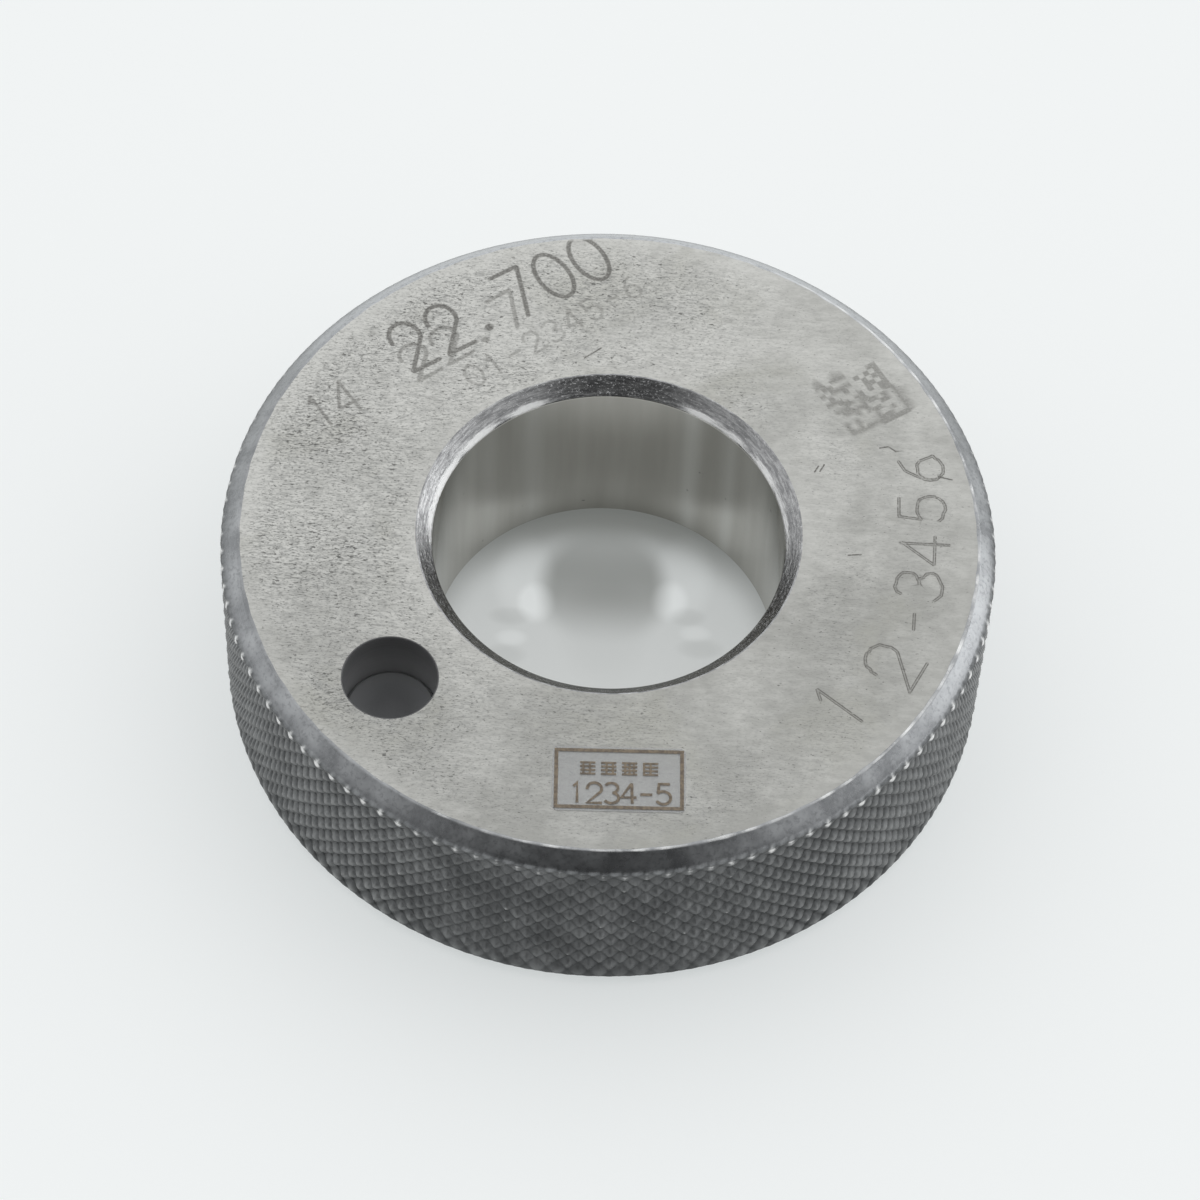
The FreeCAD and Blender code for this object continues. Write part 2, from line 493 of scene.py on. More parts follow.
def beyond_edge(places, points, count):
    """True for a triangle of one outline's corners that lies outside the outline."""
    first = min(places)
    places = sorted(p if p - first <= count / 2 else p - count for p in places)
    a, b, c = (points[p % count] for p in places)
    return (b[0] - a[0]) * (c[1] - a[1]) - (b[1] - a[1]) * (c[0] - a[0]) <= 0


def level_face(loops, inner_loops, extra, height, upward, dark=None, rise=None):
    """Triangles that fill a flat face between loops that the skin already has."""
    known = np.concatenate(skin.points)
    own = np.concatenate(loops)
    flat = np.concatenate([known[own][:, :2], extra]) if len(extra) else known[own][:, :2]
    edges, start = [], 0
    for loop in loops:
        count = len(loop)
        edges += [(start + i, start + (i + 1) % count) for i in range(count)]
        start += count
    made = delaunay_2d_cdt([Vector(p) for p in flat.tolist()], edges, [], 1, 1e-5, True)
    corners, triangles, origins = made[0], made[2], made[3]
    inner = {int(v): n for n, loop in enumerate(inner_loops) for v in loop}
    outer_place = {int(v): n for n, v in enumerate(loops[0])}
    new_index = {}
    added = []
    for i, origin in enumerate(origins):
        first = min(origin) if len(origin) else -1
        if 0 <= first < len(own):
            new_index[i] = int(own[first])
        else:
            new_index[i] = -1 - len(added)
            added.append(i)
    if added:
        xy = np.array([corners[i][:] for i in added])
        shade = dark(xy) if dark else np.zeros(len(xy))
        lift = rise(xy) if rise else np.zeros(len(xy))
        points = np.column_stack([xy, height + lift])
        fresh = skin.add(points, etch=shade)
    for triangle in triangles:
        index = [new_index[i] if new_index[i] >= 0 else int(fresh[-1 - new_index[i]]) for i in triangle]
        loops_met = {inner.get(v) for v in index}
        if len(loops_met) == 1 and None not in loops_met:
            continue
        outline = [outer_place.get(v) for v in index]
        if None not in outline and beyond_edge(outline, flat, len(loops[0])):
            continue
        skin.faces.append(index if upward else index[::-1])
        skin.finish.append(FACE)


# The face's own corners: those of the marks and a loose grid, clear of every edge and of each other
GRID_STEP = 0.9
EDGE_CLEARANCE = 0.25
CORNER_GAP = 0.035
grid_line = np.arange(-24, 24, GRID_STEP)
grid = np.stack(np.meshgrid(grid_line, grid_line), -1).reshape(-1, 2)
grid = grid + rng.uniform(-0.2, 0.2, grid.shape)
wanted = np.concatenate([block_points(), mark_points(), grid])
radius = np.linalg.norm(wanted, axis=1)
on_face = (radius < FACE_OUTER - EDGE_CLEARANCE) & (radius > FACE_INNER + EDGE_CLEARANCE)
from_hole = np.linalg.norm(wanted - HOLE_AT, axis=1)
wanted = wanted[on_face & (from_hole > HOLE_RADIUS + EDGE_CLEARANCE)]
_, first = np.unique(np.round(wanted / CORNER_GAP).astype(int), axis=0, return_index=True)
wanted = wanted[np.sort(first)]


def face_dark(xy):
    """Darkness of the marks and of the block's fields."""
    field = BLOCK_SIDE / BLOCK_FIELDS
    along = (xy - BLOCK_CORNER) @ BLOCK_RIGHT / field
    down = (xy - BLOCK_CORNER) @ BLOCK_DOWN / field
    in_block = (along > 0) & (along < BLOCK_FIELDS) & (down > 0) & (down < BLOCK_FIELDS)
    column = np.clip(along.astype(int), 0, BLOCK_FIELDS - 1)
    row = np.clip(down.astype(int), 0, BLOCK_FIELDS - 1)
    return np.maximum(mark_values(xy)[0], BLOCK_DARKNESS * in_block * block_dark[row, column])


level_face([top_outer, top_inner, hole_loops[0]], [top_inner, hole_loops[0]], wanted, HEIGHT, True,
           face_dark, lambda xy: mark_values(xy)[1])
level_face([low_outer, low_inner], [low_inner], [], 0.0, False)


# Materials

class Nodes:
    """A material's node tree, built a call at a time."""

    def __init__(self, name):
        self.material = bpy.data.materials.new(name)
        self.material.use_nodes = True
        self.tree = self.material.node_tree
        self.shader = self.tree.nodes["Principled BSDF"]
        coordinates = self.node("ShaderNodeTexCoord")
        self.at = self.node("ShaderNodeVectorMath", {0: coordinates.outputs["Object"], "Scale": 1000.0},
                            operation="SCALE").outputs["Vector"]

    def node(self, kind, inputs=None, **settings):
        node = self.tree.nodes.new(kind)
        for key, value in settings.items():
            setattr(node, key, value)
        for key, value in (inputs or {}).items():
            self.put(node.inputs[key], value)
        return node

    def put(self, socket, value):
        if isinstance(value, bpy.types.NodeSocket):
            self.tree.links.new(value, socket)
        else:
            socket.default_value = value

    def stretched(self, scale, turn=0.0):
        return self.node("ShaderNodeMapping", {"Vector": self.at, "Scale": scale,
                                               "Rotation": (0, 0, math.radians(turn))}).outputs["Vector"]

    def along(self, axis):
        """The place along one axis, in millimetres."""
        return self.node("ShaderNodeSeparateXYZ", {0: self.at}).outputs[axis]

    def from_axis(self):
        """The distance from the bore's axis, in millimetres."""
        flat = self.node("ShaderNodeVectorMath", {0: self.at, 1: (1.0, 1.0, 0.0)}, operation="MULTIPLY")
        length = self.node("ShaderNodeVectorMath", {0: flat.outputs["Vector"]}, operation="LENGTH")
        return length.outputs["Value"]

    def noise(self, vector, scale=1.0, detail=2.0, rough=0.5, distortion=0.0):
        inputs = {"Vector": vector, "Scale": scale, "Detail": detail, "Roughness": rough}
        return self.node("ShaderNodeTexNoise", {**inputs, "Distortion": distortion}).outputs["Fac"]

    def ramp(self, value, low, high, out_low=0.0, out_high=1.0):
        return self.node("ShaderNodeMapRange", {"Value": value, "From Min": low, "From Max": high,
                                                "To Min": out_low, "To Max": out_high},
                         interpolation_type="SMOOTHSTEP").outputs["Result"]

    def sum(self, a, b, operation="ADD"):
        return self.node("ShaderNodeMath", {0: a, 1: b}, operation=operation).outputs["Value"]

    def times(self, a, b):
        return self.sum(a, b, "MULTIPLY")

    def mark(self, name):
        return self.node("ShaderNodeAttribute", attribute_name=name).outputs["Fac"]

    def mix(self, factor, a, b):
        node = self.node("ShaderNodeMix", data_type="RGBA")
        for socket, value in ((node.inputs[0], factor), (node.inputs[6], a), (node.inputs[7], b)):
            self.put(socket, (*value, 1.0) if isinstance(value, tuple) and len(value) == 3 else value)
        return node.outputs[2]

    def bump(self, height, distance, strength=1.0, below=None):
        inputs = {"Height": height, "Distance": distance * MM, "Strength": strength}
        if below is not None:
            inputs["Normal"] = below
        return self.node("ShaderNodeBump", inputs).outputs["Normal"]

    def finish(self, **inputs):
        for key, value in inputs.items():
            key = key.replace("_", " ").title().replace("Ior", "IOR")
            if isinstance(value, tuple) and len(value) == 3:
                value = (*value, 1.0)
            self.put(self.shader.inputs[key], value)
        return self.material


def ground_face():
    n = Nodes("ground_steel_face")
    grain = n.noise(n.stretched((1.1, 4.5, 1.0), 4.0), 1.0, 4.0, 0.65)
    fine = n.noise(n.stretched((3.5, 11.0, 1.0), 4.0), 1.0, 3.0, 0.6)
    mottle = n.noise(n.stretched((0.8, 1.6, 1.0), 4.0), 1.0, 3.0, 0.6)
    cloud = n.noise(n.at, 0.16, 3.0, 0.55)
    stain = n.ramp(n.noise(n.at, 0.11, 4.0, 0.6, 0.6), 0.5, 0.72)
    x_of, y_of = n.along("X"), n.along("Y")
    drift = n.sum(n.times(x_of, -0.0024), n.times(y_of, 0.0008))
    drift_back = n.sum(y_of, n.times(x_of, -0.4))
    dense = n.sum(n.ramp(n.noise(n.at, 0.12, 3.0, 0.6), 0.35, 0.7, 0.0, 0.055), drift)
    dense = n.sum(n.sum(dense, -0.02, "MAXIMUM"), 0.09, "MINIMUM")
    pit_field = n.noise(n.stretched((2.2, 4.6, 1.0), 8.0), 1.0, 3.0, 0.6)
    pits = n.ramp(n.sum(pit_field, dense), 0.655, 0.73)
    small_field = n.noise(n.stretched((4.2, 9.0, 1.0), 8.0), 1.0, 2.0, 0.5)
    small = n.ramp(n.sum(small_field, dense), 0.64, 0.72)
    pits = n.sum(pits, n.times(small, 0.7), "MAXIMUM")
    light = n.sum(n.ramp(cloud, 0.3, 0.7, 0.1, 0.6), n.ramp(mottle, 0.3, 0.7, 0.0, 0.3))
    light = n.sum(light, n.times(dense, 2.2))
    steel = n.mix(n.sum(light, n.times(drift_back, 0.016)), (0.345, 0.342, 0.322), (0.57, 0.565, 0.537))
    steel = n.mix(n.times(stain, 0.5), steel, (0.37, 0.365, 0.325))
    from_axis = n.from_axis()
    inland = n.times(n.ramp(from_axis, 23.4, 21.8, 0.45, 1.0), n.ramp(from_axis, 12.5, 13.6, 0.5, 1.0))
    streaks = n.times(n.sum(0.45, n.times(dense, 7.0)), inland)
    steel = n.mix(n.times(n.ramp(grain, 0.42, 0.66, 0.0, 0.55), streaks), steel, (0.22, 0.22, 0.213))
    steel = n.mix(n.times(n.ramp(fine, 0.51, 0.63, 0.0, 0.62), streaks), steel, (0.15, 0.15, 0.146))
    steel = n.mix(n.times(n.times(pits, inland), 0.75), steel, (0.10, 0.10, 0.094))
    ragged = n.times(n.mark("etch"), n.ramp(n.noise(n.at, 6.0, 3.0, 0.6), 0.25, 0.6, 0.55, 1.0))
    steel = n.mix(ragged, steel, (0.13, 0.125, 0.115))
    rough = n.sum(n.ramp(cloud, 0.3, 0.7, 0.30, 0.38), n.times(n.sum(pits, ragged, "MAXIMUM"), 0.2))
    height = n.sum(n.sum(n.times(grain, 0.5), n.times(fine, 0.4)), n.times(pits, -0.9))
    return n.finish(base_color=steel, metallic=1.0, roughness=rough, normal=n.bump(height, 0.012, 0.6))


def turned_chamfer():
    n = Nodes("turned_steel_chamfer")
    rings = n.noise(n.stretched((0.15, 0.15, 9.0)), 1.0, 3.0, 0.6)
    cloud = n.noise(n.at, 0.35, 4.0, 0.6)
    specks = n.ramp(n.noise(n.at, 4.0, 5.0, 0.8), 0.54, 0.72)
    fine = n.noise(n.at, 4.0, 3.0, 0.6)
    steel = n.mix(n.ramp(cloud, 0.3, 0.7), (0.22, 0.225, 0.232), (0.39, 0.397, 0.405))
    # Towards the back the chamfer is painted lighter, a painted sheen
    steel = n.mix(n.ramp(n.along("Y"), 6.0, 22.0, 0.0, 0.5), steel, (0.66, 0.68, 0.70))
    steel = n.mix(n.times(specks, 0.5), steel, (0.60, 0.61, 0.62))
    steel = n.mix(n.ramp(fine, 0.48, 0.70, 0.0, 0.45), steel, (0.09, 0.092, 0.095))
    # Darker where the chamfer meets the knurl, and in its first two loops above the upper border
    steel = n.mix(n.ramp(n.mark("deep"), 0.0, 1.0), steel, (0.06, 0.062, 0.065))
    # The border spots and the upper edge's uneven wear, painted as highlights, turn near-white and less
    # metallic
    bright = n.ramp(n.sum(n.mark("worn"), n.times(n.sum(fine, -0.5), 0.6)), 0.15, 0.85)
    steel = n.mix(bright, steel, (0.85, 0.85, 0.84))
    height = n.sum(n.times(rings, 0.6), n.times(n.noise(n.at, 3.0, 3.0), 0.6))
    return n.finish(base_color=steel, metallic=n.ramp(bright, 0.0, 1.0, 1.0, 0.4),
                    roughness=n.ramp(cloud, 0.3, 0.7, 0.24, 0.36), normal=n.bump(height, 0.02, 0.6))


def dark_knurl():
    n = Nodes("dark_knurled_steel")
    fine = n.noise(n.at, 4.0, 4.0, 0.65)
    cloud = n.noise(n.at, 0.25, 3.0, 0.6)
    flank = n.ramp(n.sum(n.along("X"), 0.0, "ABSOLUTE"), 4.0, 18.0)
    steel = n.mix(n.ramp(cloud, 0.3, 0.7), (0.11, 0.113, 0.115), (0.20, 0.204, 0.206))
    steel = n.mix(n.ramp(n.noise(n.at, 1.6, 2.0, 0.5), 0.4, 0.62, 0.0, 0.5), steel, (0.09, 0.092, 0.094))
    # Painted highlight on the tips and painted shade in the valleys, both stronger towards the ring's
    # sides
    tip = n.times(n.ramp(n.mark("deep"), 0.45, 0.0), n.ramp(flank, 0.0, 1.0, 0.08, 0.5))
    steel = n.mix(tip, steel, (0.42, 0.42, 0.415))
    painted_valley_shade = n.times(n.ramp(n.mark("deep"), 0.3, 0.95), n.ramp(flank, 0.0, 1.0, 0.55, 1.0))
    steel = n.mix(painted_valley_shade, steel, (0.02, 0.021, 0.022))
    # Tips and border spots with random wear and painted highlights turn near-white and less metallic
    bright = n.ramp(n.sum(n.mark("worn"), n.times(n.sum(fine, -0.5), 0.7)), 0.25, 0.85)
    steel = n.mix(bright, steel, (0.85, 0.85, 0.84))
    return n.finish(base_color=steel, metallic=n.ramp(bright, 0.0, 1.0, 0.9, 0.35),
                    roughness=n.ramp(flank, 0.0, 1.0, 0.46, 0.33), normal=n.bump(fine, 0.035, 0.7))


def turned_mouth():
    n = Nodes("turned_steel_mouth")
    rings = n.noise(n.stretched((0.9, 0.9, 9.0)), 1.0, 4.0, 0.7)
    speck = n.ramp(n.noise(n.stretched((5.5, 5.5, 9.0)), 1.0, 5.0, 0.8), 0.56, 0.66)
    dark = n.ramp(n.noise(n.stretched((4.0, 4.0, 10.0)), 1.0, 5.0, 0.8), 0.50, 0.64)
    steel = n.mix(n.ramp(rings, 0.36, 0.64), (0.22, 0.22, 0.223), (0.44, 0.44, 0.44))
    steel = n.mix(n.times(dark, 0.45), steel, (0.12, 0.12, 0.122))
    steel = n.mix(n.times(speck, 0.55), steel, (0.85, 0.85, 0.85))
    # Painted highlights at fixed angles round the lip turn it near-white and less metallic
    lip = n.ramp(n.sum(n.mark("worn"), n.times(n.sum(rings, -0.5), 0.8)), 0.15, 0.75)
    steel = n.mix(lip, steel, (0.95, 0.95, 0.94))
    height = n.sum(n.times(rings, 0.8), n.times(speck, 0.5))
    return n.finish(base_color=steel, metallic=n.ramp(lip, 0.0, 1.0, 1.0, 0.1), roughness=0.24,
                    normal=n.bump(height, 0.02, 0.6))


def lapped_bore():
    n = Nodes("lapped_steel_bore")
    streak = n.noise(n.stretched((0.7, 0.7, 0.06)), 1.0, 3.0, 0.5)
    haze = n.noise(n.at, 0.4, 3.0, 0.5)
    spot = n.ramp(n.noise(n.at, 1.4, 2.0, 0.5), 0.74, 0.78)
    steel = n.mix(n.ramp(streak, 0.3, 0.7), (0.485, 0.472, 0.438), (0.535, 0.522, 0.488))
    # Painted reflections: light streaks at fixed angles round the wall
    steel = n.mix(n.times(n.mark("worn"), 0.5), steel, (0.95, 0.95, 0.93))
    steel = n.mix(n.times(spot, 0.6), steel, (0.2, 0.2, 0.2))
    rough = n.ramp(haze, 0.3, 0.7, 0.07, 0.13)
    return n.finish(base_color=steel, metallic=1.0, roughness=rough, normal=n.bump(streak, 0.006, 0.3))


def drilled_hole():
    n = Nodes("dark_drilled_hole")
    rings = n.noise(n.stretched((0.4, 0.4, 10.0)), 1.0, 3.0, 0.6)
    # Painted light: the wall is darker near the face and lighter towards the plug, offsetting the shade
    # deep in the hole
    deeper = n.ramp(n.along("Z"), HEIGHT - 0.1, HEIGHT - HOLE_DEPTH + PLUG_HEIGHT)
    uneven = n.sum(deeper, n.times(n.sum(rings, -0.5), 0.25))
    steel = n.mix(uneven, (0.125, 0.125, 0.127), (0.38, 0.38, 0.383))
    return n.finish(base_color=steel, metallic=0.2, roughness=0.8, normal=n.bump(rings, 0.03, 0.4))


def black_plug():
    n = Nodes("black_plug_moulded")
    fine = n.noise(n.at, 5.0, 4.0, 0.7)
    cloud = n.noise(n.at, 0.7, 2.0)
    middle = (*HOLE_AT.tolist(), HEIGHT - HOLE_DEPTH + PLUG_HEIGHT)
    from_middle = n.node("ShaderNodeVectorMath", {0: n.at, 1: middle}, operation="DISTANCE")
    # Painted light: the plug is paler towards its edge, offsetting the shade under the hole's wall, and
    # darker in its middle
    painted_edge_light = n.ramp(from_middle.outputs["Value"], 0.8, 3.1)
    painted_edge_light = n.sum(painted_edge_light, n.times(n.sum(cloud, -0.5), 0.15))
    black = n.mix(painted_edge_light, (0.112, 0.114, 0.117), (0.245, 0.248, 0.252))
    rough = n.ramp(fine, 0.3, 0.7, 0.5, 0.65)
    return n.finish(base_color=black, roughness=rough, normal=n.bump(fine, 0.02, 0.5))


def clear_film():
    n = Nodes("clear_label_film")
    haze = n.noise(n.at, 0.8, 3.0, 0.6)
    film = n.mix(haze, (0.56, 0.565, 0.56), (0.68, 0.685, 0.68))
    n.material.blend_method = "BLEND"
    return n.finish(base_color=film, alpha=0.3, roughness=n.ramp(haze, 0.3, 0.7, 0.22, 0.34),
                    normal=n.bump(haze, 0.01, 0.4))


def brown_print():
    n = Nodes("brown_label_print")
    uneven = n.noise(n.at, 5.0, 3.0, 0.6)
    ink = n.mix(n.ramp(uneven, 0.35, 0.65), (0.12, 0.093, 0.066), (0.22, 0.172, 0.118))
    return n.finish(base_color=ink, roughness=0.5, normal=n.bump(uneven, 0.005, 0.5))


ring = skin.built("ring", [ground_face(), turned_chamfer(), dark_knurl(), turned_mouth(), lapped_bore(),
                           drilled_hole()])
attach(ring, "root")
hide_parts("ring_body")

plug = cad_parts["marker_plug"]
plug.data.materials.clear()
plug.data.materials.append(black_plug())

# Label: a clear film and the print on it
LABEL_AT = np.array([1.36, -18.625])
LABEL_TURN = math.radians(1.7)
FILM_LENGTH, FILM_WIDTH, FILM_CORNER = 8.3, 4.65, 0.4
FILM_LOW, FILM_TOP = HEIGHT + 0.002, HEIGHT + 0.062
PRINT_TOP = HEIGHT + 0.074


def on_label(xy):
    """Places on the label, from its own middle and axes to the ring's."""
    c, s = math.cos(LABEL_TURN), math.sin(LABEL_TURN)
    return np.asarray(xy, float) @ np.array([[c, s], [-s, c]]) + LABEL_AT


def slab(outline, low, high, points, faces):
    """A flat plate from its outline, with a top, a bottom and sides."""
    count, first = len(outline), len(points)
    points += [(x, y, high) for x, y in outline] + [(x, y, low) for x, y in outline]
    faces.append([first + i for i in range(count)])
    faces.append([first + count + i for i in reversed(range(count))])
    for i in range(count):
        j = (i + 1) % count
        faces.append([first + j, first + i, first + count + i, first + count + j])


def plate_piece(name, points, faces, material):
    mesh = bpy.data.meshes.new(name)
    mesh.from_pydata([(x * MM, y * MM, z * MM) for x, y, z in points], [], faces)
    mesh.materials.append(material)
    mesh.validate()
    piece = bpy.data.objects.new(name, mesh)
    bpy.context.scene.collection.objects.link(piece)
    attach(piece, "root")
    return piece


film_outline = []
for x_side, y_side, start in ((1, 1, 0), (-1, 1, 90), (-1, -1, 180), (1, -1, 270)):
    x, y = x_side * (FILM_LENGTH / 2 - FILM_CORNER), y_side * (FILM_WIDTH / 2 - FILM_CORNER)
    film_outline += arc(x, y, FILM_CORNER, FILM_CORNER, start, start + 90, 8)
film_points, film_faces = [], []
slab(on_label(film_outline).tolist(), FILM_LOW, FILM_TOP, film_points, film_faces)
film = plate_piece("label_film", film_points, film_faces, clear_film())
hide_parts("date_label")

print_points, print_faces = [], []


def printed(outline, raised=0.0):
    """One flat field of the print."""
    slab(on_label(outline).tolist(), FILM_TOP, PRINT_TOP + raised, print_points, print_faces)


def printed_line(line, width, raised):
    """One bent bar along a line."""
    line = np.array(line, float)
    ways = np.diff(line, axis=0)
    ways /= np.linalg.norm(ways, axis=1)[:, None]
    before, after = np.vstack([ways[:1], ways]), np.vstack([ways, ways[-1:]])
    middle = before + after
    middle /= np.linalg.norm(middle, axis=1)[:, None]
    across = np.stack([-middle[:, 1], middle[:, 0]], 1)
    across *= width / 2 / np.maximum((middle * after).sum(1), 0.7)[:, None]
    printed(np.vstack([line - across, (line + across)[::-1]]), raised)


# The print's frame, four hatched fields in a row and a row of digits, each stroke a little above the last
FRAME_X, FRAME_Y, FRAME_LINE = 4.02, 2.16, 0.23
corner_signs = np.array([(1, 1), (-1, 1), (-1, -1), (1, -1)])
outer_corners = corner_signs * (FRAME_X, FRAME_Y)
inner_corners = corner_signs * (FRAME_X - FRAME_LINE, FRAME_Y - FRAME_LINE)
for i in range(4):
    j = (i + 1) % 4
    printed([outer_corners[i], outer_corners[j], inner_corners[j], inner_corners[i]])
FIELD_LEFT, FIELD_LOW, FIELD_PITCH = -2.42, 0.28, 1.3
CELL, CELLS = 0.135, 7
for i, bars in enumerate(((1, 4), (2, 5), (1, 3, 5), (0, 3))):
    for column in range(CELLS):
        for row in range(CELLS):
            if row % 2 == 0 or column in bars:
                left, low = FIELD_LEFT + FIELD_PITCH * i + CELL * column, FIELD_LOW + CELL * row
                printed([(left, low), (left + CELL, low), (left + CELL, low + CELL), (left, low + CELL)])
DIGIT_LEFT, DIGIT_LOW, DIGIT_PITCH = -3.05, -1.75, 1.07
DIGIT_WIDTH, DIGIT_HEIGHT, DIGIT_LINE = 0.93, 1.45, 0.18
STROKE_RISE = 0.002
for i, sign in enumerate("1234-5"):
    left = DIGIT_LEFT + DIGIT_PITCH * i
    for k, line in enumerate(GLYPHS[sign]):
        stroke = [(left + DIGIT_WIDTH * x, DIGIT_LOW + DIGIT_HEIGHT * y) for x, y in line]
        printed_line(stroke, DIGIT_LINE, STROKE_RISE * k)
label_print = plate_piece("label_print", print_points, print_faces, brown_print())

# Floor
FLOOR = 1.5
FLOOR_LIFT = 0.52
FLOOR_DROP = 0.00002


def pale_floor():
    """A plain pale floor; inside the ring, the light that the bore's lapped wall throws on it and the
    ring's shade are painted into its colour.
    """
    n = Nodes("pale_floor")
    x_of, y_of = n.along("X"), n.along("Y")

    def pool(x, y, width, length, inner):
        """1 inside an oval on the floor, falling softly to 0 at its edge."""
        across = n.times(n.sum(x_of, -x), 1 / width)
        down = n.times(n.sum(y_of, -y), 1 / length)
        return n.ramp(n.sum(n.times(across, across), n.times(down, down)), 1.0, inner)

    # Painted light and shade: two wings of light round a grey dome of shade, with small light and dark
    # pools beside them
    painted_light_and_shade = n.ramp(pool(0.0, -1.0, 13.0, 12.6, 0.5), 0.0, 1.0, 0.52, 0.78)
    # Painted shade, darker towards the back of the bore where the ring's wall shades the floor
    painted_light_and_shade = n.sum(painted_light_and_shade, n.ramp(y_of, 5.0, 11.5, 0.0, 0.22), "SUBTRACT")
    dome = n.times(pool(-0.2, 5.4, 5.0, 5.6, 0.42), n.ramp(y_of, 0.5, 5.5))
    painted_light_and_shade = n.sum(painted_light_and_shade, n.times(dome, n.ramp(y_of, 6.0, 11.0, 0.35, 0.04)), "SUBTRACT")
    for x, y, width, length, gain in (
        (-4.7, 4.1, 1.5, 1.9, 0.18), (4.3, 4.7, 1.5, 1.9, 0.16),
        (-5.6, 6.0, 2.4, 4.0, 0.10), (5.2, 6.6, 2.4, 4.0, 0.09),
        (-6.2, 1.2, 1.3, 0.8, 0.10), (6.1, 2.2, 1.3, 0.8, 0.08),
        (-6.4, 2.9, 1.7, 0.9, -0.09), (5.5, 3.5, 1.5, 0.9, -0.09),
        (6.5, 1.0, 1.9, 1.0, -0.08), (-6.6, -0.2, 1.8, 1.0, -0.08),
        (0.0, 2.0, 3.6, 5.0, -0.04),
    ):
        painted_light_and_shade = n.sum(painted_light_and_shade, n.times(pool(x, y, width, length, 0.0), gain))
    painted_light_and_shade = n.sum(painted_light_and_shade, n.ramp(n.from_axis(), 12.3, 12.5), "MAXIMUM")
    shade = n.mix(painted_light_and_shade, (0.02, 0.02, 0.0), (0.965, 0.945, 0.94))
    n.finish(base_color=shade, roughness=0.6, specular_ior_level=0.2)

    # Seen by the camera, in metal or through the film, the floor is part of the pale background
    seen = n.node("ShaderNodeLightPath")
    direct = n.sum(n.sum(seen.outputs["Is Camera Ray"], seen.outputs["Is Glossy Ray"], "MAXIMUM"),
                   seen.outputs["Is Transmission Ray"], "MAXIMUM")
    glow = n.node("ShaderNodeEmission", {"Color": n.mix(painted_light_and_shade, (0.02, 0.02, 0.0), (0.94, 0.99, 0.99))})
    both = n.node("ShaderNodeMixShader", {0: n.times(direct, FLOOR_LIFT), 1: n.shader.outputs["BSDF"],
                                          2: glow.outputs["Emission"]})
    n.tree.links.new(both.outputs["Shader"], n.tree.nodes["Material Output"].inputs["Surface"])
    return n.material


floor_mesh = bpy.data.meshes.new("floor")
floor_corners = [(-FLOOR, -FLOOR, 0), (FLOOR, -FLOOR, 0), (FLOOR, FLOOR, 0), (-FLOOR, FLOOR, 0)]
floor_mesh.from_pydata(floor_corners, [], [(0, 1, 2, 3)])
floor_mesh.materials.append(pale_floor())
floor = bpy.data.objects.new("floor", floor_mesh)
floor.location.z = -FLOOR_DROP
bpy.context.scene.collection.objects.link(floor)

# Light: the room is one soft sky in levels of brightness, and there are no lamps
SKY_LEVEL, SKY_SIDE, SKY_FRONT = 1.12, 0.15, 0.2
LOW_RIGHT, LOW_LEFT = 1.2, 0.5
BEHIND_CAMERA = (0.0, -0.87, 0.5)
WINDOW_WAY, WINDOW_GAIN = (0.94, 0.30, 0.14), 1.3
world = bpy.data.worlds.new("studio")
bpy.context.scene.world = world
world.use_nodes = True
backdrop = world.node_tree.nodes["Background"]
backdrop.inputs["Color"].default_value = (0.975, 0.99, 1.0, 1.0)


def sky(kind, *values, **settings):
    """A node of the room's light, with its inputs in order."""
    node = world.node_tree.nodes.new(kind)
    for key, value in settings.items():
        setattr(node, key, value)
    for socket, value in zip(node.inputs, values):
        if isinstance(value, bpy.types.NodeSocket):
            world.node_tree.links.new(value, socket)
        else:
            socket.default_value = value
    return node.outputs[0]


def near_to(vector, toward, wide, narrow, far_value, near_value):
    """A smooth step by the angle between a direction and another one."""
    cosine = sky("ShaderNodeVectorMath", vector, toward, operation="DOT_PRODUCT").node.outputs["Value"]
    return sky("ShaderNodeMapRange", cosine, wide, narrow, far_value, near_value,
               interpolation_type="SMOOTHSTEP")


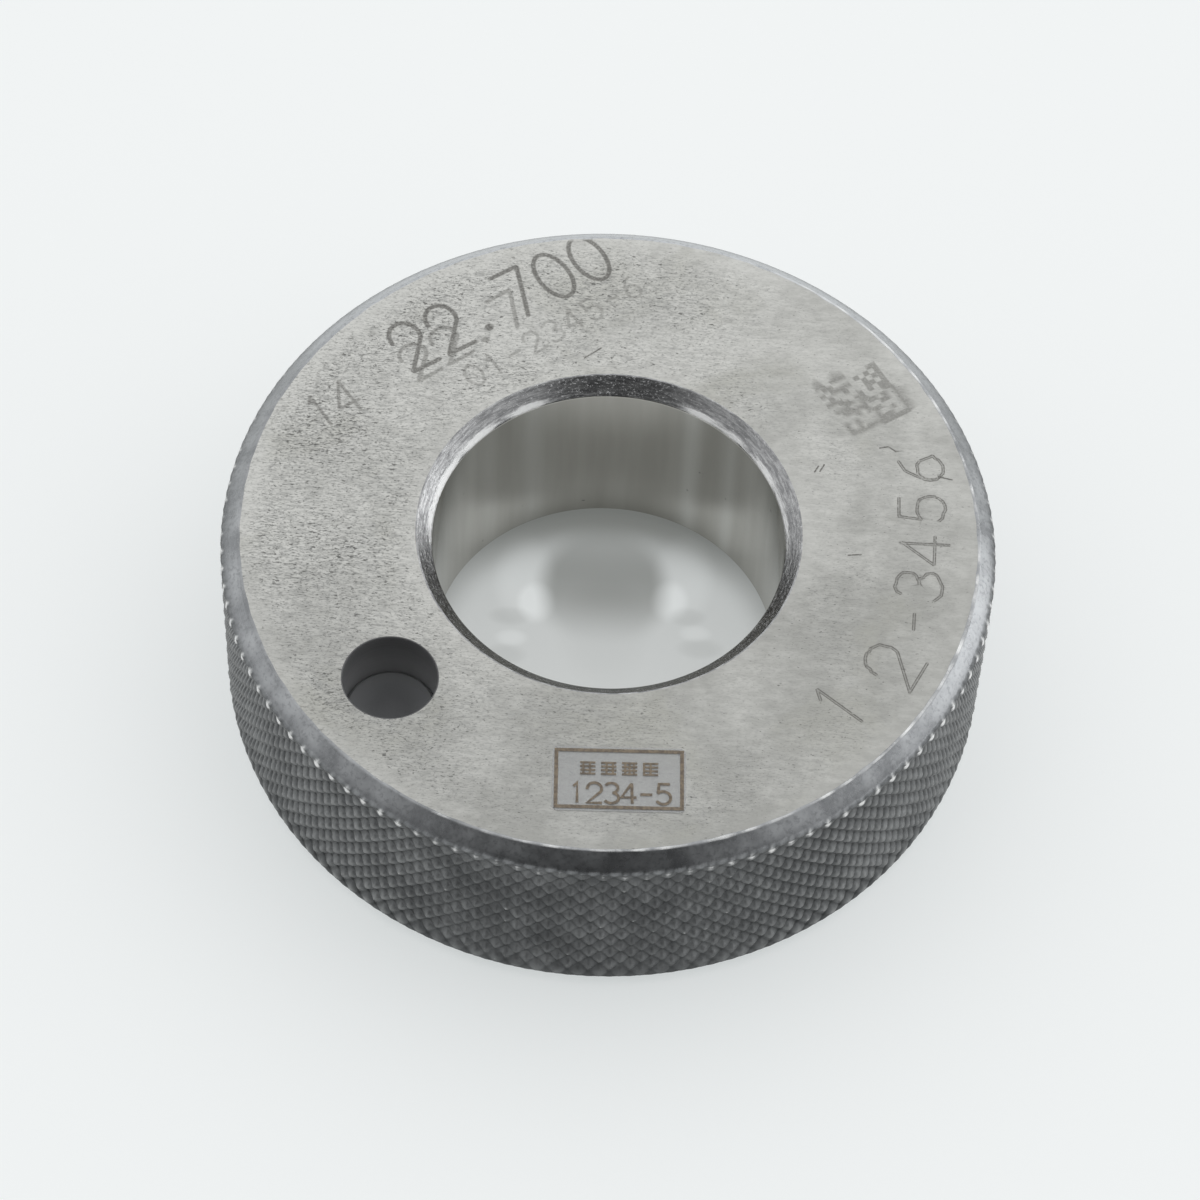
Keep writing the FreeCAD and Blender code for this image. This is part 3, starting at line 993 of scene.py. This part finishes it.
# The sky is a little brighter to the right, dark behind the camera and dim in a wide oval round that
way = sky("ShaderNodeTexCoord")
apart = sky("ShaderNodeSeparateXYZ", way).node
level = sky("ShaderNodeMath", apart.outputs["X"], SKY_SIDE, SKY_LEVEL, operation="MULTIPLY_ADD")
squeezed = sky("ShaderNodeVectorMath", way, (0.6, 1.0, 1.0), operation="MULTIPLY")
squeezed = sky("ShaderNodeVectorMath", squeezed, operation="NORMALIZE")
for dimmed in (near_to(way, BEHIND_CAMERA, 0.70, 0.95, 1.0, SKY_FRONT),
               near_to(squeezed, BEHIND_CAMERA, 0.4, 0.7, 1.0, 0.65)):
    level = sky("ShaderNodeMath", level, dimmed, operation="MULTIPLY")

# Low down it has a window at the right and a bright band at either side
window = near_to(way, WINDOW_WAY, 0.93, 0.985, 0.0, WINDOW_GAIN)
low = sky("ShaderNodeMapRange", apart.outputs["Z"], 0.28, 0.08, 0.0, 1.0, interpolation_type="SMOOTHSTEP")
level = sky("ShaderNodeMath", window, low, level, operation="MULTIPLY_ADD")
low = sky("ShaderNodeMapRange", apart.outputs["Z"], 0.15, 0.06, 0.0, 1.0, interpolation_type="SMOOTHSTEP")
for end, amount in ((1.0, LOW_RIGHT), (-1.0, LOW_LEFT)):
    row = sky("ShaderNodeMapRange", apart.outputs["X"], 0.55 * end, 0.8 * end, 0.0, amount,
              interpolation_type="SMOOTHSTEP")
    level = sky("ShaderNodeMath", row, low, level, operation="MULTIPLY_ADD")
world.node_tree.links.new(level, backdrop.inputs["Strength"])

# Camera at the photograph's place
CAMERA_AT = (0.0, -0.16731, 0.260094)
CAMERA_WAY = (-0.00124828, 0.55122986, -0.83435249)
CAMERA_ROLL = math.radians(2.6905)
LENS = 138.78
camera_data = bpy.data.cameras.new("camera")
camera_data.sensor_width = 36.0
camera_data.lens = LENS
camera_data.clip_start, camera_data.clip_end = 0.01, 10.0
camera = bpy.data.objects.new("camera", camera_data)
bpy.context.scene.collection.objects.link(camera)
forward = Vector(CAMERA_WAY).normalized()
level_right = forward.cross(Vector((0, 0, 1))).normalized()
level_up = level_right.cross(forward)
right = level_right * math.cos(CAMERA_ROLL) + level_up * math.sin(CAMERA_ROLL)
up = right.cross(forward)
turned = Matrix((right, up, -forward)).transposed().to_4x4()
camera.matrix_world = Matrix.Translation(Vector(CAMERA_AT)) @ turned
bpy.context.scene.camera = camera
bpy.context.scene.view_settings.view_transform = "Standard"
